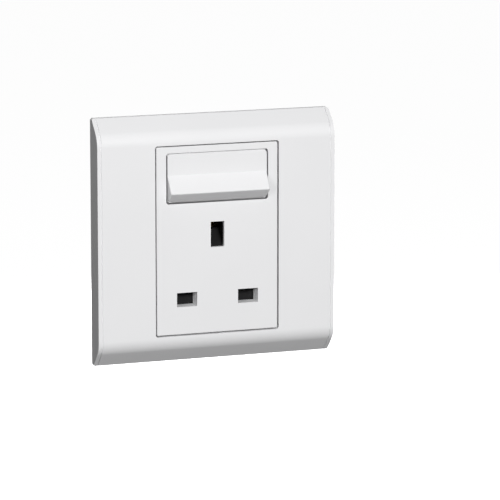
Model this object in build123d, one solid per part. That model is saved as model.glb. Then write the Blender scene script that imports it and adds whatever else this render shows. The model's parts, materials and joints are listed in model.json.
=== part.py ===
from build123d import *

import os
from math import cos, hypot, pi, radians, sin

# Switched 13 A socket outlet on a square clip-on plate, switched off.
# X runs to the right, Z up, the wall is the plane Y = 0 and the front looks along -Y.
# A depth is measured out of the wall towards the viewer, so Y = -depth.

# Front plate
plate_width = 86.0
plate_height = 86.0
plate_depth = 8.2
plate_wall = 2.0
plate_corner = 0.8
rim_depth = 1.6
bevel_angle = 45.0
bevel_blend = 7.0
side_line_inset = 1.25
side_line_width = 0.3
side_line_depth = 0.3
window_corner = 0.85
collar_wall = 1.2
plate_rib_height = 2.2
plate_rib_width = 1.2
plate_rib_place = 8.0

# Clip between the plate and its frame
clip_height = 22.0
clip_width = 8.0
lug_length = 3.2
lug_thickness = 1.3
post_thickness = 1.6
barb_reach = 0.7
barb_thickness = 1.2

# Support frame
frame_thickness = 2.0
frame_inset = 3.0
frame_corner = 4.0
frame_rib_width = 1.2
frame_rib_height = 1.0
fixing_centres = 60.3
fixing_hole_diameter = 4.2

# Socket mouldings, sized outwards from what they hold
module_corner = 0.6
module_edge = 0.25
module_wall = 1.65
flange_ledge = 1.75
face_border = 2.3
bearing_wall = 0.7
sweep_gap = 0.54
body_corner = 2.0
body_edge = 0.8
face_wall = 2.3
skirt_depth = 1.0
base_depth = 23.0
snap_reach = 0.55
snap_length = 12.0

# Pin holes
pin_pitch = 22.23
earth_rise = 22.23
pin_row_height = -20.56
live_slot_width = 7.3
live_slot_height = 4.9
live_slot_depth = 4.8
earth_slot_width = 4.9
earth_slot_height = 8.85
earth_face_wall = 1.3
earth_relief = 1.2
shroud_wall = 1.2

# Rocker
rocker_height = 16.4
rocker_wall = 1.6
rocker_corner = 0.6
rocker_skirt = 3.9
rocker_angle = 14.0
pivot_setback = 4.8
bend_rise = 1.15
ridge_drop = 4.75
ridge_proud = 4.0
lip_inset = 0.05
lip_corner = 2.0
lip_blend = 0.5
ear_radius = 3.2
trunnion_radius = 1.5
trunnion_length = 1.4

# Plungers in the rocker, one for each pole
pole_inset = 5.5
plunger_radius = 2.0
plunger_reach = 12.0
plunger_head = 2.2
plunger_point_radius = 0.5
plunger_point_length = 1.2
tube_wall = 0.95
tube_reach = 6.5
tube_seat = 2.7
spigot_radius = 1.0
spigot_length = 1.3

# Rocking contacts
contact_angle = 18.0
contact_width = 5.0
contact_thickness = 1.0
contact_margin = 0.1
contact_lift = 0.6
knuckle_radius = 1.6
fulcrum_radius = 0.8
fulcrum_web = 1.0
tip_half = 1.3
tip_thickness = 0.7
tip_inset = 0.45

# Pin contacts and their strips
strip_thickness = 0.8
strip_width = 4.0
strip_drop = 0.8
leaf_thickness = 0.7
leaf_width = 6.4
leaf_gap = 3.5
leaf_root_gap = 4.6
leaf_mouth_gap = 6.6
leaf_pinch_depth = 4.6
leaf_front_depth = 2.2
earth_leaf_height = 7.4
earth_pinch_depth = 9.0
earth_front_depth = 6.8
earth_back_depth = 15.5

# Terminals
terminal_width = 8.0
terminal_height = 5.6
conductor_diameter = 4.4
terminal_front_wall = 0.9
terminal_rear_wall = 3.0
entry_size = 5.4
earth_terminal_height = 7.4
earth_bore_length = 5.6
screw_radius = 1.95
screw_head_radius = 3.1
screw_head_height = 2.0
screw_slot_width = 1.0
screw_slot_depth = 0.9

# Screws that hold the two mouldings together
joining_radius = 1.3
joining_grip = 4.5
joining_head_radius = 2.1
joining_head_height = 1.5
joining_recess = 2.2
joining_slot = 0.6
boss_radius = 2.0
boss_cover = 1.035

# Shutter
shutter_thickness = 2.2
shutter_half_width = 6.0
pad_overlap = 0.3
fork_clearance = 0.4
ramp_heel = 2.5
guide_wall = 1.2
bay_wall = 1.6
rail_width = 1.0
rail_offset = 5.1

# Coil springs
coil_radius = 1.55
coil_wire_radius = 0.2
coil_sides = 10
plunger_coil_pitch = 1.25
shutter_coil_pitch = 2.6
shutter_coil_seat = 6.0

# Clearances
window_gap = 0.45
body_gap = 0.25
clip_gap = 0.2
rocker_gap = 0.5
bearing_gap = 0.05
running_gap = 0.15
sliding_gap = 0.05
pocket_gap = 0.15
tip_gap = 0.1
thread_gap = 0.05
head_gap = 0.35
coil_gap = 0.08

# Places and sizes that follow from the ones above
face_back = plate_depth - face_wall
parting = -skirt_depth
rear = -base_depth
flange_back = frame_thickness
pin_offset = pin_pitch / 2
earth_height = pin_row_height + earth_rise
shutter_travel = live_slot_height + 2 * pad_overlap
pad_bottom = pin_row_height - live_slot_height / 2 - pad_overlap
pad_top = pin_row_height + live_slot_height / 2 + pad_overlap
pad_edge = pin_offset + live_slot_width / 2 + pad_overlap
joining_offset = pad_edge + running_gap + boss_radius
body_width = 2 * (joining_offset + boss_radius + boss_cover)
cavity_half_height = shutter_travel + sweep_gap - pad_bottom
body_height = 2 * (cavity_half_height + module_wall)
module_width = body_width + 2 * flange_ledge
module_height = body_height + 2 * flange_ledge
window_width = module_width + 2 * window_gap
window_height = module_height + 2 * window_gap
rocker_width = body_width - 2 * (bearing_wall + running_gap + trunnion_length)
rocker_centre = module_height / 2 - face_border - rocker_gap - rocker_height / 2
pole_offset = rocker_width / 2 - pole_inset
pivot_depth = plate_depth - pivot_setback
pivot_height = rocker_centre
roller_radius = hypot(rocker_height / 2, pivot_setback)
bay_half_width = rocker_width / 2 + rocker_gap
half_rocker_angle = rocker_angle / 2
half_contact_angle = contact_angle / 2
plunger_tip_depth = pivot_depth - plunger_reach
axle_depth = plunger_tip_depth - tip_gap - contact_thickness - contact_lift
terminal_top = body_height / 2 - module_wall - pocket_gap
tip_rise = terminal_top - tip_inset - tip_half - pivot_height
contact_half_length = tip_rise + tip_half + contact_margin
closed_tip = contact_lift - tip_thickness
closed_lean = radians(half_contact_angle)
closed_tip_reach = (tip_rise + tip_half) * sin(closed_lean) - closed_tip * cos(closed_lean)
fixed_tip_depth = axle_depth - closed_tip_reach - tip_gap
terminal_front = fixed_tip_depth - tip_thickness
conductor_radius = conductor_diameter / 2
conductor_depth = terminal_front - terminal_front_wall - conductor_radius
terminal_back = conductor_depth - conductor_radius - terminal_rear_wall
terminal_bottom = terminal_top - terminal_height
strip_front = axle_depth - strip_drop
strip_back = strip_front - strip_thickness
shutter_front = plate_depth - live_slot_depth - running_gap
shutter_back = shutter_front - shutter_thickness
bay_bottom = pivot_height - roller_radius - rocker_gap
shutter_top = bay_bottom - bay_wall - running_gap
fork_half_gap = earth_slot_width / 2 + fork_clearance
ramp_front = face_back - running_gap
ramp_low = earth_height - earth_slot_height / 2
coil_depth = (shutter_front + shutter_back) / 2
coil_top = pin_row_height + shutter_coil_seat
joining_upper = bay_bottom - bay_wall - boss_radius - boss_cover
joining_lower = boss_radius - cavity_half_height
earth_terminal_bottom = -cavity_half_height + pocket_gap
earth_terminal_top = earth_terminal_bottom + earth_terminal_height
terminal_middle = (terminal_bottom + terminal_top) / 2
earth_terminal_middle = earth_terminal_bottom + earth_bore_length / 2
sides = (-1, 1)
joining_places = ((-joining_offset, joining_lower), (joining_offset, joining_upper))


def slab(width, height, back, front, x=0.0, z=0.0, corner=0.0):
    outline = RectangleRounded(width, height, corner) if corner else Rectangle(width, height)
    return extrude(Plane.XZ.offset(back) * (Pos(x, z) * outline), amount=front - back)


def block(x_low, x_high, back, front, z_low, z_high):
    middle_x = (x_low + x_high) / 2
    middle_z = (z_low + z_high) / 2
    return slab(x_high - x_low, z_high - z_low, back, front, middle_x, middle_z)


def rod_across(radius, length, depth, z, x=0.0):
    return Pos(x, -depth, z) * (Rot(0, 90, 0) * Cylinder(radius, length))


def rod_deep(radius, back, front, x, z):
    return Pos(x, -(back + front) / 2, z) * (Rot(90, 0, 0) * Cylinder(radius, front - back))


def rod_up(radius, low, high, x, depth):
    return Pos(x, -depth, (low + high) / 2) * Cylinder(radius, high - low)


# A face from (depth, z) points, seen from the right-hand side
def side_face(points):
    return make_face(Polyline(*[(-depth, z) for depth, z in points], close=True))


def spread(face, width, x=0.0):
    return extrude(Plane.YZ.offset(x) * face, amount=width / 2, both=True)


def turned(solid, angle, depth, z):
    return Pos(0, -depth, z) * (Rot(angle, 0, 0) * (Pos(0, depth, -z) * solid))


# Cross-section of the plate with its front and edges moved inwards
def plate_section(front_inset, edge_inset, back):
    tilt = radians(bevel_angle)
    half = plate_height / 2 - edge_inset
    rim = rim_depth + (edge_inset * sin(tilt) - front_inset) / cos(tilt)
    front = plate_depth - front_inset
    corner = plate_height / 2 - (front_inset + (front - rim_depth) * cos(tilt)) / sin(tilt)
    outline = [(back, -half), (back, half), (rim, half), (front, corner), (front, -corner), (rim, -half)]
    face = side_face(outline)
    ends = [vertex for vertex in face.vertices() if abs(vertex.X + front) < 1e-6]
    return fillet(ends, bevel_blend - front_inset)


def make_front_plate():
    section = plate_section(0, 0, 0)
    lined = plate_section(side_line_depth, 0, 0)
    plate = spread(section, plate_width - 2 * (side_line_inset + side_line_width))
    for side in sides:
        line_x = side * (plate_width / 2 - side_line_inset - side_line_width / 2)
        band_x = side * (plate_width / 2 - side_line_inset / 2)
        plate += spread(lined, side_line_width, line_x)
        plate += spread(section, side_line_inset, band_x)
    plate = plate & slab(plate_width, plate_height, -1, plate_depth + 1, corner=plate_corner)
    plate -= spread(plate_section(plate_wall, plate_wall, -1), plate_width - 2 * plate_wall)

    # Collar round the window, stopping short of the rib on the frame
    collar_back = frame_thickness + frame_rib_height + clip_gap
    collar_width = window_width + 2 * collar_wall
    collar_height = window_height + 2 * collar_wall
    rooted = plate_depth - plate_wall / 2
    plate += slab(collar_width, collar_height, collar_back, rooted, corner=window_corner)
    plate -= slab(window_width, window_height, -1, plate_depth + 1, corner=window_corner)

    # Ribs that stiffen the plate beside the window
    rib_back = plate_depth - plate_wall - plate_rib_height
    rib_inner = (window_width + collar_wall) / 2
    rib_outer = (plate_width - plate_wall) / 2
    for side in sides:
        rib_x = sorted((side * rib_inner, side * rib_outer))
        for end in sides:
            low = end * plate_rib_place - plate_rib_width / 2
            plate += block(*rib_x, rib_back, rooted, low, low + plate_rib_width)

    # Lugs that snap behind the barbs of the frame
    lug_tip = plate_width / 2 - plate_wall - lug_length
    lug_root = plate_width / 2 - plate_wall / 2
    lug_front = frame_thickness + lug_thickness + 2 * clip_gap
    for side in sides:
        for end in sides:
            lug_x = sorted((side * lug_tip, side * lug_root))
            low = end * clip_height - clip_width / 2
            plate += block(*lug_x, lug_front - lug_thickness, lug_front, low, low + clip_width)
    return plate


def make_support_frame():
    width = plate_width - 2 * (plate_wall + frame_inset)
    height = plate_height - 2 * (plate_wall + frame_inset)
    frame = slab(width, height, 0, frame_thickness, corner=frame_corner)
    rib_top = frame_thickness + frame_rib_height
    rib_width = window_width + 2 * frame_rib_width
    rib_height = window_height + 2 * frame_rib_width
    frame += slab(rib_width, rib_height, 0, rib_top)
    frame -= slab(window_width, window_height, frame_thickness, rib_top + 1)
    frame -= slab(body_width + 2 * body_gap, body_height + 2 * body_gap, -1, rib_top, corner=body_corner)

    # Posts with barbs that hold the plate
    post_outer = plate_width / 2 - plate_wall - lug_length - clip_gap
    barb_back = frame_thickness + lug_thickness + 3 * clip_gap
    for side in sides:
        for end in sides:
            low = end * clip_height - clip_width / 2
            high = low + clip_width
            post_x = sorted((side * (post_outer - post_thickness), side * post_outer))
            barb_x = sorted((side * (post_outer - post_thickness), side * (post_outer + barb_reach)))
            frame += block(*post_x, frame_thickness / 2, barb_back + barb_thickness, low, high)
            frame += block(*barb_x, barb_back, barb_back + barb_thickness, low, high)
        frame -= rod_deep(fixing_hole_diameter / 2, -1, frame_thickness + 1, side * fixing_centres / 2, 0)
    return frame


# Drum round the rocker's pivot, with the rims of its ends taken off
def roller(radius, width, corner):
    drum = rod_across(radius, width, pivot_depth, pivot_height)
    rims = drum.edges().filter_by(GeomType.CIRCLE)
    return chamfer(rims, corner)


def live_slots(grow, back, front):
    width = live_slot_width + 2 * grow
    height = live_slot_height + 2 * grow
    return [slab(width, height, back, front, side * pin_offset, pin_row_height) for side in sides]


def make_socket_front():
    flange = slab(module_width, module_height, flange_back, plate_depth, corner=module_corner)
    front_edges = flange.faces().sort_by(Axis.Y)[0].edges()
    body = chamfer(front_edges, module_edge)
    body += slab(body_width, body_height, parting, flange_back, corner=body_corner)
    step = flange_back + module_wall
    inner_width = body_width - 2 * module_wall
    body -= slab(module_width - 2 * module_wall, module_height - 2 * module_wall, step, face_back)
    body -= slab(inner_width, 2 * cavity_half_height, parting - 1, step)

    # Walls round the pin holes, the switch bay, the shutter and the screws
    rooted = face_back + face_wall / 2
    for shroud in live_slots(shroud_wall, plate_depth - live_slot_depth, rooted):
        body += shroud
    half_inner = inner_width / 2 + module_wall / 2
    body += block(-half_inner, half_inner, parting, rooted, bay_bottom - bay_wall, bay_bottom)
    guide_inner = shutter_half_width + running_gap
    for side in sides:
        cheek_x = sorted((side * bay_half_width, side * (module_width / 2 - module_wall / 2)))
        cheek_top = pivot_height + ear_radius + trunnion_radius
        body += block(*cheek_x, step, rooted, bay_bottom, cheek_top)
        skirt_x = sorted((side * bay_half_width, side * half_inner))
        body += block(*skirt_x, parting, step, bay_bottom, cheek_top)
        guide_x = sorted((side * guide_inner, side * (guide_inner + guide_wall)))
        guide_bottom = pad_top + running_gap
        body += block(*guide_x, shutter_back, rooted, guide_bottom, bay_bottom - bay_wall / 2)
    thread_end = parting + joining_grip + thread_gap
    for x, z in joining_places:
        body += rod_deep(boss_radius, parting, rooted, x, z)
        body -= rod_deep(joining_radius + thread_gap, parting - 1, thread_end, x, z)

    # Pin holes, rocker window and bearings
    for hole in live_slots(0, plate_depth - live_slot_depth - 1, plate_depth + 1):
        body -= hole
    body -= slab(earth_slot_width, earth_slot_height, step, plate_depth + 1, 0, earth_height)
    relief_width = earth_slot_width + 2 * earth_relief
    relief_height = earth_slot_height + 2 * earth_relief
    body -= slab(relief_width, relief_height, step, plate_depth - earth_face_wall, 0, earth_height)
    opening = roller(roller_radius + rocker_gap, 2 * bay_half_width, rocker_corner)
    body -= opening & slab(module_width, 2 * module_height, step, 2 * plate_depth)
    journal = trunnion_radius + bearing_gap
    bearing_end = rocker_width / 2 + trunnion_length + running_gap
    for side in sides:
        bearing_x = sorted((side * (bay_half_width - 1), side * bearing_end))
        body -= block(*bearing_x, parting - 1, pivot_depth, pivot_height - journal, pivot_height + journal)
        bearing_length = bearing_x[1] - bearing_x[0]
        body -= rod_across(journal, bearing_length, pivot_depth, pivot_height, sum(bearing_x) / 2)

    # Seat of the shutter spring, and snaps that catch behind the frame
    floor = -cavity_half_height
    body += rod_up(spigot_radius, floor - module_wall / 2, floor + spigot_length, 0, coil_depth)
    for side in sides:
        edge = body_height / 2
        lip = edge + body_gap + snap_reach
        root = edge - module_wall / 2
        snap = [(-clip_gap, root), (-clip_gap, lip), (parting, edge), (parting, root)]
        wedge = side_face([(depth, side * z) for depth, z in snap])
        body += spread(wedge, snap_length)
    return body


# Outline of the rocker's front, seen from the right-hand side
def rocker_face(back):
    top = pivot_height + 2 * roller_radius
    low = pivot_height - 2 * roller_radius
    bottom = pivot_height - rocker_height / 2
    bend = (plate_depth, pivot_height + bend_rise)
    ridge = (plate_depth + ridge_proud, pivot_height - ridge_drop)
    underside = [(plate_depth, bottom), (plate_depth, low), (back, low)]
    return [(back, top), (plate_depth, top), bend, ridge] + underside


def make_rocker():
    skirt_back = plate_depth - rocker_skirt
    outline = side_face(rocker_face(skirt_back))
    prism = spread(outline, rocker_width)
    drum = roller(roller_radius, rocker_width, rocker_corner)
    behind_face = slab(4 * rocker_width, 8 * rocker_height, rear, plate_depth)
    body = prism & drum & behind_face

    # Lip in front of the face: a long wedge, narrowing a little to its ridge, rounded and then cut off at the face
    lip_top = plate_depth + ridge_proud
    root = plate_depth - ridge_proud
    upper_root = pivot_height + 2 * bend_rise + ridge_drop
    lower_root = pivot_height - rocker_height + ridge_drop
    section = side_face([(lip_top, pivot_height - ridge_drop), (root, upper_root), (root, lower_root)])
    taper = Polyline(
        (-rocker_width / 2 - lip_inset, -root),
        (-rocker_width / 2 + lip_inset, -lip_top),
        (rocker_width / 2 - lip_inset, -lip_top),
        (rocker_width / 2 + lip_inset, -root),
        close=True,
    )
    wedge = spread(section, 2 * rocker_width) & extrude(make_face(taper), amount=4 * rocker_height, both=True)
    ridge_edges = [edge for edge in wedge.edges() if edge.bounding_box().min.Y < 1e-4 - lip_top]
    wedge = fillet(ridge_edges, lip_blend)
    body += wedge & slab(rocker_width, rocker_height, plate_depth, lip_top, 0, rocker_centre, lip_corner)

    # Hollow inside, open at the back
    inner = offset(side_face(rocker_face(skirt_back - 4 * rocker_wall)), amount=-rocker_wall)
    hollow = spread(inner, rocker_width - 2 * rocker_wall)
    hollow = hollow & rod_across(roller_radius - rocker_wall, rocker_width, pivot_depth, pivot_height)
    body -= hollow

    under_face = spread(side_face(rocker_face(rear)), rocker_width)
    for side in sides:
        ear_x = side * (rocker_width - rocker_wall) / 2
        body += rod_across(ear_radius, rocker_wall, pivot_depth, pivot_height, ear_x)
        pin_length = rocker_wall + trunnion_length
        pin_x = side * (rocker_width / 2 + trunnion_length - pin_length / 2)
        body += rod_across(trunnion_radius, pin_length, pivot_depth, pivot_height, pin_x)

        # Plunger tube, square to the rocker's middle position
        bore = plunger_radius + sliding_gap
        tube_x = side * pole_offset
        tube_size = 2 * (bore + tube_wall)
        tube_back = pivot_depth - tube_reach
        tube = slab(tube_size, tube_size, tube_back, plate_depth - rocker_wall / 2, tube_x, pivot_height)
        well = rod_deep(bore, tube_back - 1, pivot_depth + tube_seat, tube_x, pivot_height)
        body += turned(tube, -half_rocker_angle, pivot_depth, pivot_height) & under_face
        body -= turned(well, -half_rocker_angle, pivot_depth, pivot_height)
    return body


def make_plunger(side):
    x = side * pole_offset
    head = pivot_depth - plunger_head
    shoulder = plunger_tip_depth + plunger_point_length
    half_section = Polyline(
        (0, -plunger_tip_depth),
        (plunger_point_radius, -plunger_tip_depth),
        (plunger_radius, -shoulder),
        (plunger_radius, -head),
        (spigot_radius, -head),
        (spigot_radius, -head - spigot_length),
        (0, -head - spigot_length),
        close=True,
    )
    plunger = Pos(x, 0, pivot_height) * revolve(make_face(half_section), Axis.Y)
    return turned(plunger, -half_rocker_angle, pivot_depth, pivot_height)


# A coil standing on the origin, along Z, as a helix of short straight steps
def coil(length, pitch):
    rise = length - 2 * coil_wire_radius
    steps = round(coil_sides * rise / pitch)
    points = []
    for step in range(steps + 1):
        turn = 2 * pi * step / coil_sides
        lift = coil_wire_radius + rise * step / steps
        points.append((coil_radius * cos(turn), coil_radius * sin(turn), lift))
    path = Polyline(*points)
    wire = Plane(origin=path @ 0, z_dir=path % 0) * RegularPolygon(coil_wire_radius, 6)
    return sweep(wire, path=path, transition=Transition.RIGHT)


def make_plunger_spring(side):
    back = pivot_depth - plunger_head + coil_gap
    front = pivot_depth + tube_seat - coil_gap
    spring = Rot(90, 0, 0) * coil(front - back, plunger_coil_pitch)
    spring = Pos(side * pole_offset, -back, pivot_height) * spring
    return turned(spring, -half_rocker_angle, pivot_depth, pivot_height)


def make_shutter_spring():
    low = -cavity_half_height + coil_gap
    high = coil_top - coil_gap
    return Pos(0, -coil_depth, low) * coil(high - low, shutter_coil_pitch)


# A strip across the axle, with a saddle that sits on the fulcrum
def make_rocking_contact(side):
    x = side * pole_offset
    length = 2 * contact_half_length
    back = axle_depth + contact_lift
    front = back + contact_thickness
    contact = slab(contact_width, length, back, front, x, pivot_height, contact_width / 4)
    saddle = rod_across(knuckle_radius, contact_width, axle_depth, pivot_height, x)
    saddle -= slab(2 * contact_width, 4 * knuckle_radius, rear, axle_depth, x, pivot_height)
    contact += saddle
    groove = fulcrum_radius + sliding_gap
    contact -= rod_across(groove, 2 * contact_width, axle_depth, pivot_height, x)
    contact -= slab(2 * contact_width, 2 * groove, rear, axle_depth, x, pivot_height)
    return turned(contact, half_contact_angle, axle_depth, pivot_height)


def make_moving_tip(side):
    x = side * pole_offset
    front = axle_depth + contact_lift
    tip = slab(2 * tip_half, 2 * tip_half, front - tip_thickness, front, x, pivot_height + tip_rise)
    return turned(tip, half_contact_angle, axle_depth, pivot_height)


def make_fixed_tip(side):
    x = side * pole_offset
    return slab(2 * tip_half, 2 * tip_half, terminal_front, fixed_tip_depth, x, pivot_height + tip_rise)


# One sprung leaf as (depth, offset from the pin's middle) points
def leaf_points(root_depth, pinch_depth, front_depth):
    root = (root_depth, leaf_root_gap / 2)
    pinch = (pinch_depth, leaf_gap / 2)
    mouth = (front_depth, leaf_mouth_gap / 2)
    inner = [root, pinch, mouth]
    outer = [(depth, offset_z + leaf_thickness) for depth, offset_z in reversed(inner)]
    return inner + outer


def make_pin_contact(side):
    pin_x = side * pin_offset
    pole_x = side * pole_offset
    web_half = leaf_root_gap / 2 + leaf_thickness
    web_low = pin_row_height - web_half
    strip_top = pivot_height + strip_drop
    contact = slab(leaf_width, 2 * web_half, strip_back, strip_front, pin_x, pin_row_height)
    half = strip_width / 2
    contact += block(pole_x - half, pole_x + half, strip_back, strip_front, web_low, strip_top)
    points = leaf_points(strip_front, -leaf_pinch_depth, -leaf_front_depth)
    for edge in sides:
        leaf = [(depth, pin_row_height + edge * z) for depth, z in points]
        contact += spread(side_face(leaf), leaf_width, pin_x)
    contact += slab(strip_width, fulcrum_web, strip_back, axle_depth, pole_x, pivot_height)
    contact += rod_across(fulcrum_radius, strip_width, axle_depth, pivot_height, pole_x)
    return contact


def make_terminal(side):
    x = side * pole_offset
    half = terminal_width / 2
    terminal = block(x - half, x + half, terminal_back, terminal_front, terminal_bottom, terminal_top)
    terminal -= rod_up(conductor_radius, terminal_bottom - 1, terminal_top + 1, x, conductor_depth)
    tapping = screw_radius + thread_gap
    terminal -= rod_deep(tapping, terminal_back - 1, conductor_depth, x, terminal_middle)
    return terminal


def make_earth_terminal():
    half = terminal_width / 2
    terminal = block(-half, half, terminal_back, terminal_front, earth_terminal_bottom, earth_terminal_top)
    bore_top = earth_terminal_bottom + earth_bore_length
    terminal -= rod_up(conductor_radius, earth_terminal_bottom - 1, bore_top, 0, conductor_depth)
    tapping = screw_radius + thread_gap
    terminal -= rod_deep(tapping, terminal_back - 1, conductor_depth, 0, earth_terminal_middle)
    return terminal


def make_earth_contact():
    web_half = leaf_root_gap / 2 + leaf_thickness
    web_front = -earth_back_depth
    web_back = web_front - strip_thickness
    contact = slab(2 * web_half, earth_leaf_height, web_back, web_front, 0, earth_height)
    low = earth_height - earth_leaf_height / 2
    contact += block(-strip_width / 2, strip_width / 2, web_back, web_front, earth_terminal_top, low)
    for side in sides:
        points = leaf_points(web_front, -earth_pinch_depth, -earth_front_depth)
        leaf = make_face(Polyline(*[(side * x, -depth) for depth, x in points], close=True))
        contact += Pos(0, 0, earth_height) * extrude(leaf, amount=earth_leaf_height / 2, both=True)
    return contact


def make_terminal_screw(x, z):
    tip = conductor_depth - conductor_radius - thread_gap
    under_head = terminal_back - head_gap
    screw = rod_deep(screw_radius, under_head, tip, x, z)
    head_back = under_head - screw_head_height
    screw += rod_deep(screw_head_radius, head_back, under_head, x, z)
    slot_front = head_back + screw_slot_depth
    screw -= slab(3 * screw_head_radius, screw_slot_width, head_back - 1, slot_front, x, z)
    return screw


def make_module_screws():
    under_head = rear + joining_recess
    screws = []
    for x, z in joining_places:
        screw = rod_deep(joining_radius, under_head, parting + joining_grip, x, z)
        head_back = under_head - joining_head_height
        screw += rod_deep(joining_head_radius, head_back, under_head, x, z)
        screw -= slab(3 * joining_head_radius, joining_slot, head_back - 1, head_back + joining_slot, x, z)
        screws.append(screw)
    return Compound(children=screws)


# Slider behind the pin holes: two pads close the live holes and a ramp waits in the way of the earth pin
def make_shutter():
    half = shutter_half_width
    back = shutter_back - 1
    front = shutter_front + 1
    body = block(-half, half, shutter_back, shutter_front, pad_bottom, shutter_top)
    body += block(-pad_edge, pad_edge, shutter_back, shutter_front, pad_bottom, pad_top)
    body -= block(-fork_half_gap, fork_half_gap, back, front, ramp_low, shutter_top + 1)
    ramp_back = ramp_front - shutter_travel
    ramp_high = ramp_low + shutter_travel
    heel = ramp_low - ramp_heel
    ramp = [(ramp_front, ramp_low), (ramp_back, ramp_high), (ramp_back, heel), (ramp_front, heel)]
    body += spread(side_face(ramp), 2 * fork_half_gap)

    # Notch and spigot for the spring
    notch_half = coil_radius + coil_wire_radius + running_gap
    body -= block(-notch_half, notch_half, back, front, pad_bottom - 1, coil_top)
    body += rod_up(spigot_radius, coil_top - spigot_length, coil_top + 1, 0, coil_depth)
    return body


# Rear moulding: a block with front-open pockets that hold the metal parts
def make_socket_base():
    base = slab(body_width, body_height, rear, parting, corner=body_corner)
    base = chamfer(base.faces().sort_by(Axis.Y)[-1].edges(), body_edge)
    front = parting + 1
    web_half = leaf_root_gap / 2 + leaf_thickness
    mouth_half = leaf_mouth_gap / 2 + leaf_thickness + pocket_gap
    chamber_top = terminal_top + pocket_gap
    well = 2 * (screw_head_radius + head_gap)
    entry = entry_size / 2
    entry_low = conductor_depth - entry
    entry_high = conductor_depth + entry
    for side in sides:
        pole_x = side * pole_offset
        pin_x = side * pin_offset
        half = terminal_width / 2 + pocket_gap
        chamber_bottom = pivot_height - contact_half_length - 4 * pocket_gap
        base -= block(pole_x - half, pole_x + half, strip_back, front, chamber_bottom, chamber_top)
        seat_bottom = terminal_bottom - pocket_gap
        base -= block(pole_x - half, pole_x + half, terminal_back, front, seat_bottom, chamber_top)
        half = strip_width / 2 + pocket_gap
        strip_low = pin_row_height - web_half - pocket_gap
        base -= block(pole_x - half, pole_x + half, strip_back, front, strip_low, pivot_height)
        half = leaf_width / 2 + pocket_gap
        base -= slab(2 * half, 2 * mouth_half, strip_back, front, pin_x, pin_row_height)

        # Well for the terminal screw and way in for the conductor
        base -= slab(well, well, rear - 1, terminal_back + 1, pole_x, terminal_middle)
        base -= block(pole_x - entry, pole_x + entry, entry_low, entry_high, terminal_top - 1, body_height)

        # Rail behind the shutter and post that closes the rocker's bearing
        rail_front = shutter_back - running_gap
        rail_x = sorted((side * rail_offset, side * (rail_offset + rail_width)))
        base += block(*rail_x, parting - 1, rail_front, pad_bottom - shutter_travel, earth_height)
        post_outer = rocker_width / 2 + trunnion_length
        post_x = sorted((side * (bay_half_width + running_gap), side * post_outer))
        post_half = trunnion_radius - running_gap
        post_front = pivot_depth - trunnion_radius - bearing_gap - sliding_gap
        base += block(*post_x, parting - 1, post_front, pivot_height - post_half, pivot_height + post_half)

    # Earth clip, its strip, its terminal and the way in for the earth conductor
    web_back = -earth_back_depth - strip_thickness
    clip_half = earth_leaf_height / 2 + pocket_gap
    base -= slab(2 * mouth_half, 2 * clip_half, web_back, front, 0, earth_height)
    half = strip_width / 2 + pocket_gap
    base -= block(-half, half, web_back, front, earth_terminal_top - 1, earth_height)
    half = terminal_width / 2 + pocket_gap
    terminal_low = earth_terminal_bottom - pocket_gap
    base -= block(-half, half, terminal_back, front, terminal_low, earth_terminal_top + pocket_gap)
    base -= slab(well, well, rear - 1, terminal_back + 1, 0, earth_terminal_middle)
    base -= block(-entry, entry, entry_low, entry_high, -body_height, earth_terminal_bottom + 1)

    # Holes for the joining screws
    for x, z in joining_places:
        base -= rod_deep(joining_radius + thread_gap, rear - 1, front, x, z)
        base -= rod_deep(joining_head_radius + head_gap, rear - 1, rear + joining_recess, x, z)

    # Hollow between the two switch chambers
    core_half = pole_offset - terminal_width / 2 - pocket_gap - module_wall
    core_bottom = earth_height + clip_half + module_wall
    base -= block(-core_half, core_half, rear + module_wall, front, core_bottom, cavity_half_height)
    return base


nodes = {
    "front_plate": make_front_plate(),
    "support_frame": make_support_frame(),
    "socket_front": make_socket_front(),
    "socket_base": make_socket_base(),
    "module_screws": make_module_screws(),
    "rocker": make_rocker(),
    "shutter": make_shutter(),
    "shutter_spring": make_shutter_spring(),
    "earth_contact": make_earth_contact(),
    "earth_terminal": make_earth_terminal(),
    "earth_terminal_screw": make_terminal_screw(0, earth_terminal_middle),
}
for pole, side in (("neutral", -1), ("line", 1)):
    nodes[pole + "_plunger"] = make_plunger(side)
    nodes[pole + "_plunger_spring"] = make_plunger_spring(side)
    nodes[pole + "_rocking_contact"] = make_rocking_contact(side)
    nodes[pole + "_moving_tip"] = make_moving_tip(side)
    nodes[pole + "_fixed_tip"] = make_fixed_tip(side)
    nodes[pole + "_pin_contact"] = make_pin_contact(side)
    nodes[pole + "_terminal"] = make_terminal(side)
    nodes[pole + "_terminal_screw"] = make_terminal_screw(side * pole_offset, terminal_middle)

os.makedirs("parts", exist_ok=True)
for name, solid in nodes.items():
    export_step(solid, "parts/" + name + ".step")
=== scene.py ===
import json
import math

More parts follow.
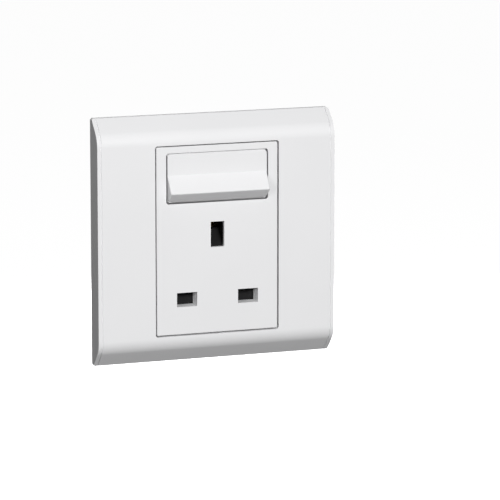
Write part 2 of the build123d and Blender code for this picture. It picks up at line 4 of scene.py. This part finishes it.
import bmesh
import bpy
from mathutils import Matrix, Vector


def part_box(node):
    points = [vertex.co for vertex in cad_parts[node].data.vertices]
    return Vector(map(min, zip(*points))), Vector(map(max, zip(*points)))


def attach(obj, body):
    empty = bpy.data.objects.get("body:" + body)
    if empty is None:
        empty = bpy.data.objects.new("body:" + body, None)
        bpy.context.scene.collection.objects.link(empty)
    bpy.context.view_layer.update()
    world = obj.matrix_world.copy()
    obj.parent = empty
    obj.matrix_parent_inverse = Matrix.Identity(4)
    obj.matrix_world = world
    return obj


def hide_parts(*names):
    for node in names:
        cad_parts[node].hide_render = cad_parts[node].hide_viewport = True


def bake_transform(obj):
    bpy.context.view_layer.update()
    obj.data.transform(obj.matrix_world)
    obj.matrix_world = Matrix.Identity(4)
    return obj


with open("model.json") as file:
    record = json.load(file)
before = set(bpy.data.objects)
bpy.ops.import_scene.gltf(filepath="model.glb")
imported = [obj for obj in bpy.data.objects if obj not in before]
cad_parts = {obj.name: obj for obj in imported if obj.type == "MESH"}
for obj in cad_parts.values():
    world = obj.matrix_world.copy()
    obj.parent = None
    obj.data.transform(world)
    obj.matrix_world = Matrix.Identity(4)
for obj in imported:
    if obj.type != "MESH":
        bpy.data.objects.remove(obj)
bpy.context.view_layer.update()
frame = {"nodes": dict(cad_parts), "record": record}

nodes = frame["nodes"]
record = frame["record"]
mm = 0.001
bodyOf = {node: body for body, held in record["behaviour"]["bodies"].items() for node in held}
joints = {row["name"]: row for row in record["behaviour"]["joints"]}
print("frame loaded:", len(nodes), "nodes")


def addNode(tree, kind, place, label=""):
    node = tree.nodes.new(kind)
    node.location = place
    node.label = label
    return node


# every skin gives a colour, a roughness and a height for the bump
def newSkin(name, inputs):
    group = bpy.data.node_groups.new(name, "ShaderNodeTree")
    for label, kind, value in inputs:
        socket = group.interface.new_socket(label, in_out="INPUT", socket_type=kind)
        socket.default_value = value
    group.interface.new_socket("Colour", in_out="OUTPUT", socket_type="NodeSocketColor")
    for label in ("Roughness", "Height"):
        group.interface.new_socket(label, in_out="OUTPUT", socket_type="NodeSocketFloat")
    given = addNode(group, "NodeGroupInput", (-900, 0))
    result = addNode(group, "NodeGroupOutput", (700, 0))
    return group, given, result


noiseSpan = (0.3, 0.7)  # where a noise texture's values mostly lie


def spanNode(tree, place, source, lowSocket, highSocket):
    span = addNode(tree, "ShaderNodeMapRange", place)
    span.inputs["From Min"].default_value = noiseSpan[0]
    span.inputs["From Max"].default_value = noiseSpan[1]
    tree.links.new(source, span.inputs["Value"])
    tree.links.new(lowSocket, span.inputs["To Min"])
    tree.links.new(highSocket, span.inputs["To Max"])
    return span.outputs["Result"]


def tintNode(tree, place, colour, factor):
    tint = addNode(tree, "ShaderNodeMix", place)
    tint.data_type = "RGBA"
    tint.blend_type = "MULTIPLY"
    tint.inputs["Factor"].default_value = 1.0
    tree.links.new(colour, tint.inputs["A"])
    tree.links.new(factor, tint.inputs["B"])
    return tint.outputs["Result"]


# moulded plastic: slow tone drift, fine spark texture, gloss that wanders a little
mouldedLook = {"driftScale": 38.0, "driftDetail": 2.0, "grainDetail": 2.0}


def makeMouldedSkin():
    group, given, result = newSkin(
        "mouldedSkin",
        [
            ("Colour", "NodeSocketColor", (0.8, 0.8, 0.8, 1)),
            ("Tone Low", "NodeSocketFloat", 0.985),
            ("Tone High", "NodeSocketFloat", 1.0),
            ("Gloss Low", "NodeSocketFloat", 0.3),
            ("Gloss High", "NodeSocketFloat", 0.4),
            ("Grain Scale", "NodeSocketFloat", 6000.0),
        ],
    )
    where = addNode(group, "ShaderNodeTexCoord", (-900, 300))
    drift = addNode(group, "ShaderNodeTexNoise", (-650, 300), "slow drift")
    drift.inputs["Scale"].default_value = mouldedLook["driftScale"]
    drift.inputs["Detail"].default_value = mouldedLook["driftDetail"]
    grain = addNode(group, "ShaderNodeTexNoise", (-650, -100), "spark grain")
    grain.inputs["Detail"].default_value = mouldedLook["grainDetail"]
    links = group.links
    links.new(where.outputs["Object"], drift.inputs["Vector"])
    links.new(where.outputs["Object"], grain.inputs["Vector"])
    links.new(given.outputs["Grain Scale"], grain.inputs["Scale"])
    toneEnds = (given.outputs["Tone Low"], given.outputs["Tone High"])
    tone = spanNode(group, (-350, 300), drift.outputs["Fac"], *toneEnds)
    glossEnds = (given.outputs["Gloss Low"], given.outputs["Gloss High"])
    gloss = spanNode(group, (-350, 0), grain.outputs["Fac"], *glossEnds)
    links.new(tintNode(group, (0, 200), given.outputs["Colour"], tone), result.inputs["Colour"])
    links.new(gloss, result.inputs["Roughness"])
    links.new(grain.outputs["Fac"], result.inputs["Height"])
    return group


# rolled or turned metal: streaks one way, faint tarnish clouds
rolledLook = {
    "stretch": (1.0, 1.0, 0.06),
    "streakDetail": 3.0,
    "cloudScale": 220.0,
    "cloudDetail": 4.0,
    "cloudSpan": (0.48, 0.75),  # cloud values from clean to fully tarnished
}


def makeRolledMetal():
    group, given, result = newSkin(
        "rolledMetal",
        [
            ("Colour", "NodeSocketColor", (0.8, 0.7, 0.4, 1)),
            ("Tarnish", "NodeSocketColor", (0.5, 0.4, 0.2, 1)),
            ("Gloss Low", "NodeSocketFloat", 0.2),
            ("Gloss High", "NodeSocketFloat", 0.4),
            ("Streak Scale", "NodeSocketFloat", 1500.0),
        ],
    )
    where = addNode(group, "ShaderNodeTexCoord", (-900, 300))
    stretch = addNode(group, "ShaderNodeMapping", (-720, 100))
    stretch.inputs["Scale"].default_value = rolledLook["stretch"]
    streak = addNode(group, "ShaderNodeTexNoise", (-500, 100), "rolling streaks")
    streak.inputs["Detail"].default_value = rolledLook["streakDetail"]
    cloud = addNode(group, "ShaderNodeTexNoise", (-500, 400), "tarnish clouds")
    cloud.inputs["Scale"].default_value = rolledLook["cloudScale"]
    cloud.inputs["Detail"].default_value = rolledLook["cloudDetail"]
    cover = addNode(group, "ShaderNodeMapRange", (-250, 400))
    cover.inputs["From Min"].default_value = rolledLook["cloudSpan"][0]
    cover.inputs["From Max"].default_value = rolledLook["cloudSpan"][1]
    mix = addNode(group, "ShaderNodeMix", (0, 300))
    mix.data_type = "RGBA"
    links = group.links
    links.new(where.outputs["Object"], stretch.inputs["Vector"])
    links.new(stretch.outputs["Vector"], streak.inputs["Vector"])
    links.new(given.outputs["Streak Scale"], streak.inputs["Scale"])
    links.new(where.outputs["Object"], cloud.inputs["Vector"])
    links.new(cloud.outputs["Fac"], cover.inputs["Value"])
    links.new(cover.outputs["Result"], mix.inputs["Factor"])
    links.new(given.outputs["Colour"], mix.inputs["A"])
    links.new(given.outputs["Tarnish"], mix.inputs["B"])
    glossEnds = (given.outputs["Gloss Low"], given.outputs["Gloss High"])
    gloss = spanNode(group, (-250, 0), streak.outputs["Fac"], *glossEnds)
    links.new(mix.outputs["Result"], result.inputs["Colour"])
    links.new(gloss, result.inputs["Roughness"])
    links.new(streak.outputs["Fac"], result.inputs["Height"])
    return group


mouldedSkin = makeMouldedSkin()
rolledMetal = makeRolledMetal()
bumpLook = {"strength": 0.35, "plasticDepth": 0.004 * mm, "metalDepth": 0.006 * mm}


def makeFinish(name, group, values, shaderValues, bumpDepth):
    finish = bpy.data.materials.new(name)
    finish.use_nodes = True
    tree = finish.node_tree
    shader = tree.nodes["Principled BSDF"]
    for label, value in shaderValues.items():
        shader.inputs[label].default_value = value
    skin = addNode(tree, "ShaderNodeGroup", (-500, 100))
    skin.node_tree = group
    for label, value in values.items():
        skin.inputs[label].default_value = value
    bump = addNode(tree, "ShaderNodeBump", (-250, -200))
    bump.inputs["Strength"].default_value = bumpLook["strength"]
    bump.inputs["Distance"].default_value = bumpDepth
    tree.links.new(skin.outputs["Colour"], shader.inputs["Base Color"])
    tree.links.new(skin.outputs["Roughness"], shader.inputs["Roughness"])
    tree.links.new(skin.outputs["Height"], bump.inputs["Height"])
    tree.links.new(bump.outputs["Normal"], shader.inputs["Normal"])
    return finish


# gloss: lowest and highest roughness
whiteLook = {"colour": (0.80, 0.80, 0.808, 1), "gloss": (0.30, 0.42), "specular": 0.10, "grain": 5200.0}
rimLook = {"colour": (0.80, 0.80, 0.808, 1), "gloss": (0.60, 0.72), "specular": 0.0, "grain": 3200.0}
greyLook = {"colour": (0.47, 0.48, 0.49, 1), "gloss": (0.42, 0.58), "specular": 0.35, "grain": 3400.0}
baseLook = {"colour": (0.060, 0.062, 0.066, 1), "gloss": (0.40, 0.56), "specular": 0.4, "grain": 3000.0}
shutterLook = {"colour": (0.0145, 0.0145, 0.015, 1), "gloss": (0.46, 0.62), "specular": 0.06, "grain": 3600.0}
foilLook = {"colour": (0.46, 0.46, 0.47, 1), "gloss": (0.38, 0.5), "specular": 0.3, "grain": 4200.0}
redLook = {"colour": (0.42, 0.012, 0.012, 1), "gloss": (0.34, 0.46), "specular": 0.35, "grain": 5200.0}
nylonLook = {"colour": (0.66, 0.63, 0.55, 1), "gloss": (0.34, 0.48), "specular": 0.4, "grain": 4200.0}
plasticIor = 1.48


def plasticFinish(name, look):
    values = {
        "Colour": look["colour"],
        "Gloss Low": look["gloss"][0],
        "Gloss High": look["gloss"][1],
        "Grain Scale": look["grain"],
    }
    shaderValues = {"Specular IOR Level": look["specular"], "IOR": plasticIor}
    return makeFinish(name, mouldedSkin, values, shaderValues, bumpLook["plasticDepth"])


brassLook = {"colour": (0.72, 0.53, 0.25, 1), "tarnish": (0.52, 0.36, 0.16, 1), "gloss": (0.22, 0.38)}
silverLook = {"colour": (0.86, 0.85, 0.82, 1), "tarnish": (0.62, 0.60, 0.56, 1), "gloss": (0.25, 0.42)}
steelLook = {"colour": (0.50, 0.51, 0.53, 1), "tarnish": (0.36, 0.36, 0.37, 1), "gloss": (0.26, 0.42)}


def metalFinish(name, look):
    values = {
        "Colour": look["colour"],
        "Tarnish": look["tarnish"],
        "Gloss Low": look["gloss"][0],
        "Gloss High": look["gloss"][1],
    }
    return makeFinish(name, rolledMetal, values, {"Metallic": 1.0}, bumpLook["metalDepth"])


finishes = {
    "white": plasticFinish("whitePlastic", whiteLook),
    "rim": plasticFinish("rimPlastic", rimLook),
    "grey": plasticFinish("framePlastic", greyLook),
    "base": plasticFinish("basePlastic", baseLook),
    "shutter": plasticFinish("shutterPlastic", shutterLook),
    "nylon": plasticFinish("plungerNylon", nylonLook),
    "red": plasticFinish("flashInk", redLook),
    "foil": plasticFinish("signFoil", foilLook),
    "brass": metalFinish("brassStrip", brassLook),
    "silver": metalFinish("silverTip", silverLook),
    "steel": metalFinish("steelWire", steelLook),
}
print("finishes made:", len(finishes))


def paint(piece, finish):
    piece.data.materials.clear()
    piece.data.materials.append(finishes[finish])


def meshData(name, mesh):
    data = bpy.data.meshes.new(name)
    mesh.to_mesh(data)
    mesh.free()
    return data


def placeItem(name, data):
    item = bpy.data.objects.new(name, data)
    bpy.context.scene.collection.objects.link(item)
    return item


def addPiece(name, data, finish, body):
    piece = placeItem(name, data)
    paint(piece, finish)
    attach(piece, body)
    return piece


# the walls between each ring of points and the next
def joinRings(mesh, rings):
    walls = []
    for low, high in zip(rings, rings[1:]):
        for spot in range(len(low)):
            after = (spot + 1) % len(low)
            walls.append(mesh.faces.new((low[spot], low[after], high[after], high[spot])))
    return walls


# copies of the nodes that show, with their sharp edges softened
softLooks = {
    "front_plate": {"piece": "plate_moulding", "width": 0.12 * mm, "segments": 3, "finish": "white"},
    "socket_front": {"piece": "front_moulding", "width": 0.04 * mm, "segments": 2, "finish": "white"},
    "rocker": {"piece": "rocker_moulding", "width": 0.12 * mm, "segments": 2, "finish": "white"},
    "support_frame": {"piece": "frame_moulding", "width": 0.15 * mm, "segments": 2, "finish": "grey"},
    "socket_base": {"piece": "base_moulding", "width": 0.12 * mm, "segments": 2, "finish": "base"},
    "shutter": {"piece": "shutter_moulding", "width": 0.06 * mm, "segments": 2, "finish": "shutter"},
    "module_screws": {"piece": "joining_screws", "width": 0.08 * mm, "segments": 2, "finish": "steel"},
}
for pole in ("line", "neutral", "earth"):
    block = {"piece": pole + "_block", "width": 0.08 * mm, "segments": 2, "finish": "brass"}
    screw = {"piece": pole + "_clamp_screw", "width": 0.08 * mm, "segments": 2, "finish": "steel"}
    softLooks[pole + "_terminal"] = block
    softLooks[pole + "_terminal_screw"] = screw
mergeGap = 0.002 * mm  # points closer than this are one
flatAngle = math.radians(0.4)  # faces that turn less than this are one
cornerAngle = math.radians(32)  # edges flatter than this are left smooth
cornerRoom = 1.1  # widths of room that a corner needs to be softened
cornerMeet = 3  # how many corners may meet in a point and still be softened
flatWeight = 100  # how strongly large faces keep their own normal


# how far a corner can be cut back before it runs out along the edges that it meets
def roomAt(edge, corners):
    room = edge.calc_length()
    for loop in edge.link_loops:
        after = loop.link_loop_next
        for turn, other in ((loop, loop.link_loop_prev.edge), (after, after.edge)):
            angle = turn.calc_angle()
            if other not in corners:
                far = other.other_vert(turn.vert)
                shared = any(beside in corners for beside in far.link_edges)
                room = min(room, other.calc_length() * math.sin(angle) / (2 if shared else 1))
            elif turn.is_convex:
                shorter = min(edge.calc_length(), other.calc_length())
                room = min(room, shorter / 2 * math.tan(angle / 2))
    return room


# dropping a corner changes the room of those beside it, so this goes round until none is tight
def roomyCorners(mesh, width):
    corners = set()
    for edge in mesh.edges:
        if len(edge.link_faces) == 2 and edge.calc_face_angle(0) > cornerAngle:
            corners.add(edge)
    knots = []
    for vertex in mesh.verts:
        if sum(edge in corners for edge in vertex.link_edges) > cornerMeet:
            knots.append(vertex)
    for vertex in knots:
        corners.difference_update(vertex.link_edges)
    tight = True
    while tight:
        tight = [edge for edge in corners if roomAt(edge, corners) < cornerRoom * width]
        corners.difference_update(tight)
    return [edge for edge in mesh.edges if edge in corners]


def softCopy(nodeName, look):
    mesh = bmesh.new()
    mesh.from_mesh(nodes[nodeName].data)
    bmesh.ops.remove_doubles(mesh, verts=mesh.verts, dist=mergeGap)
    bmesh.ops.dissolve_limit(
        mesh, angle_limit=flatAngle, verts=mesh.verts, edges=mesh.edges, use_dissolve_boundaries=False
    )
    mesh.normal_update()
    corners = roomyCorners(mesh, look["width"])
    cornerCount = len(corners)
    bmesh.ops.bevel(
        mesh, geom=corners, offset=look["width"], offset_type="OFFSET", segments=look["segments"],
        profile=0.5, affect="EDGES", clamp_overlap=False,
    )
    mesh.normal_update()
    for face in mesh.faces:
        face.smooth = True
    for edge in mesh.edges:
        edge.smooth = len(edge.link_faces) == 2 and edge.calc_face_angle(0) < cornerAngle
    data = meshData(look["piece"], mesh)
    piece = addPiece(look["piece"], data, look["finish"], bodyOf[nodeName])
    flatten = piece.modifiers.new("flat faces stay flat", "WEIGHTED_NORMAL")
    flatten.weight = flatWeight
    flatten.keep_sharp = True
    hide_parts(nodeName)
    print("softened", nodeName, len(data.polygons), "faces,", cornerCount, "edges")


for nodeName, look in softLooks.items():
    softCopy(nodeName, look)

rimGap = 0.02 * mm  # how near to the plate's limits its sides lie


# the plate's outer sides are left matt
def makeRim():
    plate = bpy.data.objects["plate_moulding"].data
    low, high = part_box("front_plate")
    plate.materials.append(finishes["rim"])
    rimIndex = len(plate.materials) - 1
    matt = 0
    for face in plate.polygons:
        for way in (0, 2):  # across and up
            spots = [plate.vertices[index].co[way] for index in face.vertices]
            if min(spots) > high[way] - rimGap or max(spots) < low[way] + rimGap:
                face.material_index = rimIndex
                matt += 1
    print("matt rim faces:", matt)


makeRim()

# coil springs in round wire, wound along the slide that they return; each keeps the length it is wound at
coilLook = {"radius": 1.55 * mm, "wire": 0.2 * mm, "stepsPerTurn": 30, "sides": 12, "finish": "steel"}
coilSeats = {
    "shutter_spring": {"piece": "shutter_coil", "joint": "shutter_slide", "pitch": 2.6 * mm, "along": -1},
}  # along: 1 where the coil is wound with the slide's travel, -1 against it
for pole in ("line", "neutral"):
    coilSeats[pole + "_plunger_spring"] = {
        "piece": pole + "_plunger_coil",
        "joint": pole + "_plunger_press",
        "pitch": 1.25 * mm,
        "along": 1,
    }


def makeCoil(nodeName, seat):
    joint = joints[seat["joint"]]
    radius, wire = coilLook["radius"], coilLook["wire"]
    rise = Vector(joint["axis"]).normalized() * seat["along"]
    right = Vector((1, 0, 0))
    front = rise.cross(right)
    spans = []
    for way in (right, front, rise):
        reach = [vertex.co.dot(way) for vertex in nodes[nodeName].data.vertices]
        spans.append((min(reach), max(reach)))
    foot = right * sum(spans[0]) / 2 + front * sum(spans[1]) / 2 + rise * spans[2][0]
    length = spans[2][1] - spans[2][0]
    climb = length - 2 * wire
    steps = round(coilLook["stepsPerTurn"] * climb / seat["pitch"])
    slope = seat["pitch"] / (2 * math.pi)
    mesh = bmesh.new()
    rings = []
    for step in range(steps + 1):
        turn = 2 * math.pi * step / coilLook["stepsPerTurn"]
        out = right * math.cos(turn) + front * math.sin(turn)
        ahead = (front * math.cos(turn) - right * math.sin(turn)) * radius + rise * slope
        side = ahead.normalized().cross(out)
        middle = foot + out * radius + rise * (wire + climb * step / steps)
        ring = []
        for corner in range(coilLook["sides"]):
            angle = 2 * math.pi * corner / coilLook["sides"]
            spoke = out * math.cos(angle) + side * math.sin(angle)
            ring.append(mesh.verts.new(middle + spoke * wire))
        rings.append(ring)
    for face in joinRings(mesh, rings):
        face.smooth = True
    for end in (rings[0], rings[-1]):
        for edge in mesh.faces.new(end).edges:
            edge.smooth = False
    bmesh.ops.recalc_face_normals(mesh, faces=mesh.faces)
    piece = placeItem(seat["piece"], meshData(seat["piece"], mesh))
    paint(piece, coilLook["finish"])
    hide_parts(nodeName)
    ends = [foot, foot + rise * length]
    if seat["along"] > 0:
        ends.reverse()
    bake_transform(piece)


for nodeName, seat in coilSeats.items():
    makeCoil(nodeName, seat)
print("springs wound:", len(coilSeats))

# the other parts inside keep their CAD shape
nodeFinishes = {"earth_contact": "brass"}
for pole in ("line", "neutral"):
    nodeFinishes[pole + "_plunger"] = "nylon"
    nodeFinishes[pole + "_rocking_contact"] = "brass"
    nodeFinishes[pole + "_moving_tip"] = "silver"
    nodeFinishes[pole + "_fixed_tip"] = "silver"
    nodeFinishes[pole + "_pin_contact"] = "brass"
for nodeName, finish in nodeFinishes.items():
    paint(nodes[nodeName], finish)
print("nodes painted:", len(nodeFinishes))

# signs moulded on the back and stamped with pale foil, one by each terminal, drawn as seen from behind
signLook = {"height": 4.0 * mm, "stroke": 0.8 * mm, "proud": 0.25 * mm, "gap": 1.9 * mm, "roundness": 3}
signStrokes = {
    "line": [[(-0.28, 0.5), (-0.28, -0.5), (0.32, -0.5)]],
    "neutral": [[(-0.34, -0.5), (-0.34, 0.5), (0.34, -0.5), (0.34, 0.5)]],
    "earth": [
        [(0, 0.5), (0, 0)],
        [(-0.5, 0), (0.5, 0)],
        [(-0.32, -0.25), (0.32, -0.25)],
        [(-0.14, -0.5), (0.14, -0.5)],
    ],
}  # shares of the sign's height, across and up


def makeSign(pole, strokes):
    well = [Vector(corner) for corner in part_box(pole + "_terminal_screw")]
    middle = (well[0] + well[1]) / 2
    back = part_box("socket_base")[1][1]
    height = signLook["height"]
    reach = (well[1].z - well[0].z) / 2 + signLook["gap"] + height / 2
    level = middle.z - math.copysign(reach, middle.z)
    name = pole + "_sign"
    path = bpy.data.curves.new(name, "CURVE")
    path.dimensions = "3D"
    path.bevel_depth = signLook["stroke"] / 2
    path.bevel_resolution = signLook["roundness"]
    path.use_fill_caps = True
    for stroke in strokes:
        spline = path.splines.new("POLY")
        spline.points.add(len(stroke) - 1)
        for point, (across, up) in zip(spline.points, stroke):
            point.co = (middle.x - across * height, 0, level + up * height, 1)
    tube = bpy.data.objects.new(name + "_path", path)
    data = bpy.data.meshes.new_from_object(tube)
    data.name = name
    bpy.data.objects.remove(tube)
    flat = signLook["proud"] / (signLook["stroke"] / 2)
    for vertex in data.vertices:
        vertex.co.y = back + vertex.co.y * flat
    for face in data.polygons:
        face.use_smooth = True
    addPiece(name, data, "foil", bodyOf["socket_base"])


for pole, strokes in signStrokes.items():
    makeSign(pole, strokes)
print("signs moulded:", len(signStrokes))

# round marks that the mould's ejector pins leave on the back
markLook = {"radius": 1.6 * mm, "rim": 0.2 * mm, "proud": 0.16 * mm, "middle": 0.25, "sides": 40}
markPlaces = [
    (13.5, 14.0), (-13.5, 14.0), (13.5, -8.0), (-13.5, -8.0), (0, 24.5), (12.0, -27.0),
]  # mm across, mm up


def makeMarks():
    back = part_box("socket_base")[1][1]
    rim = markLook["rim"] / markLook["radius"]
    profile = ((1.0, -1.0), (1.0, 0.0), (1.0 - rim, 1.0), (1.0 - 2 * rim, markLook["middle"]))
    mesh = bmesh.new()
    for across, up in markPlaces:
        hoops = []
        for share, rise in profile:  # shares of the radius and of the height, the first sunk in the base
            hoop = []
            for side in range(markLook["sides"]):
                turn = 2 * math.pi * side / markLook["sides"]
                spot = (
                    across * mm + share * markLook["radius"] * math.cos(turn),
                    back + rise * markLook["proud"],
                    up * mm + share * markLook["radius"] * math.sin(turn),
                )
                hoop.append(mesh.verts.new(spot))
            hoops.append(hoop)
        joinRings(mesh, hoops)
        mesh.faces.new(hoops[0])
        mesh.faces.new(hoops[-1])
    bmesh.ops.recalc_face_normals(mesh, faces=mesh.faces)
    data = meshData("ejector_marks", mesh)
    addPiece("ejector_marks", data, "base", bodyOf["socket_base"])


makeMarks()
print("ejector marks:", len(markPlaces))

# red flash on the upper edge of the rocker, which comes out of the window when the switch is on
flashLook = {
    "width": 21.0 * mm,
    "lean": (17.0, 22.5),  # degrees forward of straight up, first and last row
    "proud": 0.03 * mm,
    "edge": 0.25 * mm,
    "steps": 8,
    "drumAbove": 5.0 * mm,  # the drum's end of the rocker, counted from the pivot
}


def makeFlash():
    pivot = Vector(joints["rocker_tilt"]["pos_m"])
    spots = [vertex.co - pivot for vertex in nodes["rocker"].data.vertices]
    upper = [spot for spot in spots if spot.z > flashLook["drumAbove"]]
    radius = max(math.hypot(spot.y, spot.z) for spot in upper)  # the drum that the rocker's end is cut from
    first, last = flashLook["lean"]
    edge = flashLook["edge"] / flashLook["width"]
    columns = (-0.5, -0.5 + edge, 0.5 - edge, 0.5)  # shares of the width
    mesh = bmesh.new()
    rows = []
    for step in range(flashLook["steps"] + 1):
        lean = math.radians(first + (last - first) * step / flashLook["steps"])
        edgeRow = step in (0, flashLook["steps"])
        row = []
        for across in columns:
            edgeSpot = edgeRow or across in (columns[0], columns[-1])
            reach = radius if edgeSpot else radius + flashLook["proud"]
            spot = (across * flashLook["width"], -reach * math.sin(lean), reach * math.cos(lean))
            row.append(mesh.verts.new(pivot + Vector(spot)))
        rows.append(row)
    for low, high in zip(rows, rows[1:]):
        for index in range(len(columns) - 1):
            face = mesh.faces.new((low[index], low[index + 1], high[index + 1], high[index]))
            face.smooth = True
    bmesh.ops.recalc_face_normals(mesh, faces=mesh.faces)
    bmesh.ops.solidify(mesh, geom=mesh.faces[:], thickness=flashLook["proud"])  # closed, sunk in the drum
    bmesh.ops.recalc_face_normals(mesh, faces=mesh.faces)
    addPiece("on_flash", meshData("on_flash", mesh), "red", bodyOf["rocker"])


makeFlash()
print("flash printed on the rocker")


# 1 for rays that look at the stage, straight or by way of a mirror or a lens
def directLook(tree, seen):
    first = addNode(tree, "ShaderNodeMath", (-500, -300))
    first.operation = "MAXIMUM"
    both = addNode(tree, "ShaderNodeMath", (-400, -300))
    both.operation = "MAXIMUM"
    tree.links.new(seen.outputs["Is Camera Ray"], first.inputs[0])
    tree.links.new(seen.outputs["Is Glossy Ray"], first.inputs[1])
    tree.links.new(first.outputs[0], both.inputs[0])
    tree.links.new(seen.outputs["Is Transmission Ray"], both.inputs[1])
    return both.outputs[0]


# floor, well below the plate, white to the camera and still taking the shadow
floorLook = {
    "drop": 0.30,
    "size": 8.0,
    "squares": 4,
    "colour": (0.22, 0.22, 0.22, 1),
    "roughness": 0.9,
    "cameraGlow": 0.97,
}


def makeFloor():
    mesh = bmesh.new()
    squares = floorLook["squares"]
    bmesh.ops.create_grid(mesh, x_segments=squares, y_segments=squares, size=floorLook["size"] / 2)
    bmesh.ops.translate(mesh, verts=mesh.verts, vec=(0, 0, -floorLook["drop"]))
    floor = placeItem("studio_floor", meshData("studio_floor", mesh))
    finish = bpy.data.materials.new("studioFloor")
    finish.use_nodes = True
    tree = finish.node_tree
    shader = tree.nodes["Principled BSDF"]
    shader.inputs["Base Color"].default_value = floorLook["colour"]
    shader.inputs["Roughness"].default_value = floorLook["roughness"]
    shader.inputs["Specular IOR Level"].default_value = 0.0
    shader.inputs["Emission Color"].default_value = (1, 1, 1, 1)
    seen = addNode(tree, "ShaderNodeLightPath", (-700, -300))
    glow = addNode(tree, "ShaderNodeMath", (-300, -300), "glow where seen")
    glow.operation = "MULTIPLY"
    glow.inputs[1].default_value = floorLook["cameraGlow"]
    tree.links.new(directLook(tree, seen), glow.inputs[0])
    tree.links.new(glow.outputs[0], shader.inputs["Emission Strength"])
    floor.data.materials.append(finish)
    floor.visible_diffuse = False  # no bounce from below


worldLook = {"ambient": 0.02, "seen": 1.0}


def makeWorld():
    world = bpy.data.worlds.new("studio")
    bpy.context.scene.world = world
    world.use_nodes = True
    tree = world.node_tree
    backdrop = tree.nodes["Background"]
    backdrop.inputs["Color"].default_value = (1, 1, 1, 1)
    seen = addNode(tree, "ShaderNodeLightPath", (-900, 0))
    level = addNode(tree, "ShaderNodeMapRange", (-200, -200))
    level.inputs["To Min"].default_value = worldLook["ambient"]
    level.inputs["To Max"].default_value = worldLook["seen"]
    tree.links.new(directLook(tree, seen), level.inputs["Value"])
    tree.links.new(level.outputs["Result"], backdrop.inputs["Strength"])


# soft boxes, placed by bearing to the right of straight on and by height angle
lampDistance = 1.5
lampLooks = {
    "front_soft_box": {"bearing": 0, "height": 24, "size": (0.45, 0.3), "power": 20.4, "glare": True},
    "left_soft_box": {"bearing": -50, "height": 14, "size": (0.35, 0.35), "power": 5.4, "glare": True},
    "right_soft_box": {"bearing": 105, "height": 0, "size": (0.4, 0.3), "power": 11.0, "glare": False},
    "back_soft_box": {"bearing": 163, "height": -2, "size": (0.5, 0.3), "power": 18.0, "glare": False},
}  # glare: whether shiny faces mirror the lamp


def aimAt(item, target):
    item.rotation_euler = (Vector(target) - item.location).to_track_quat("-Z", "Y").to_euler()


def makeLamps():
    for name, look in lampLooks.items():
        data = bpy.data.lights.new(name, "AREA")
        data.shape = "RECTANGLE"
        data.size, data.size_y = look["size"]
        data.energy = look["power"]
        lamp = placeItem(name, data)
        bearing = math.radians(look["bearing"])
        height = math.radians(look["height"])
        flat = lampDistance * math.cos(height)
        up = lampDistance * math.sin(height)
        lamp.location = (flat * math.sin(bearing), -flat * math.cos(bearing), up)
        aimAt(lamp, (0, 0, 0))
        lamp.visible_camera = False
        lamp.visible_glossy = look["glare"]


# camera at the photograph's angle: 19 degrees to the left, 10.2 above
cameraLook = {
    "place": (-0.38101, -1.10652, 0.21015),
    "aim": (0.014781, 0, -0.006232),
    "lens": 247.25,
    "sensor": 36.0,
    "near": 0.01,
}


def makeCamera():
    data = bpy.data.cameras.new("camera")
    data.sensor_width = cameraLook["sensor"]
    data.lens = cameraLook["lens"]
    data.clip_start = cameraLook["near"]
    camera = placeItem("camera", data)
    camera.location = cameraLook["place"]
    aimAt(camera, cameraLook["aim"])
    bpy.context.scene.camera = camera


makeFloor()
makeWorld()
makeLamps()
makeCamera()
bpy.context.scene.view_settings.view_transform = "Standard"
print("stage, lamps and camera set")
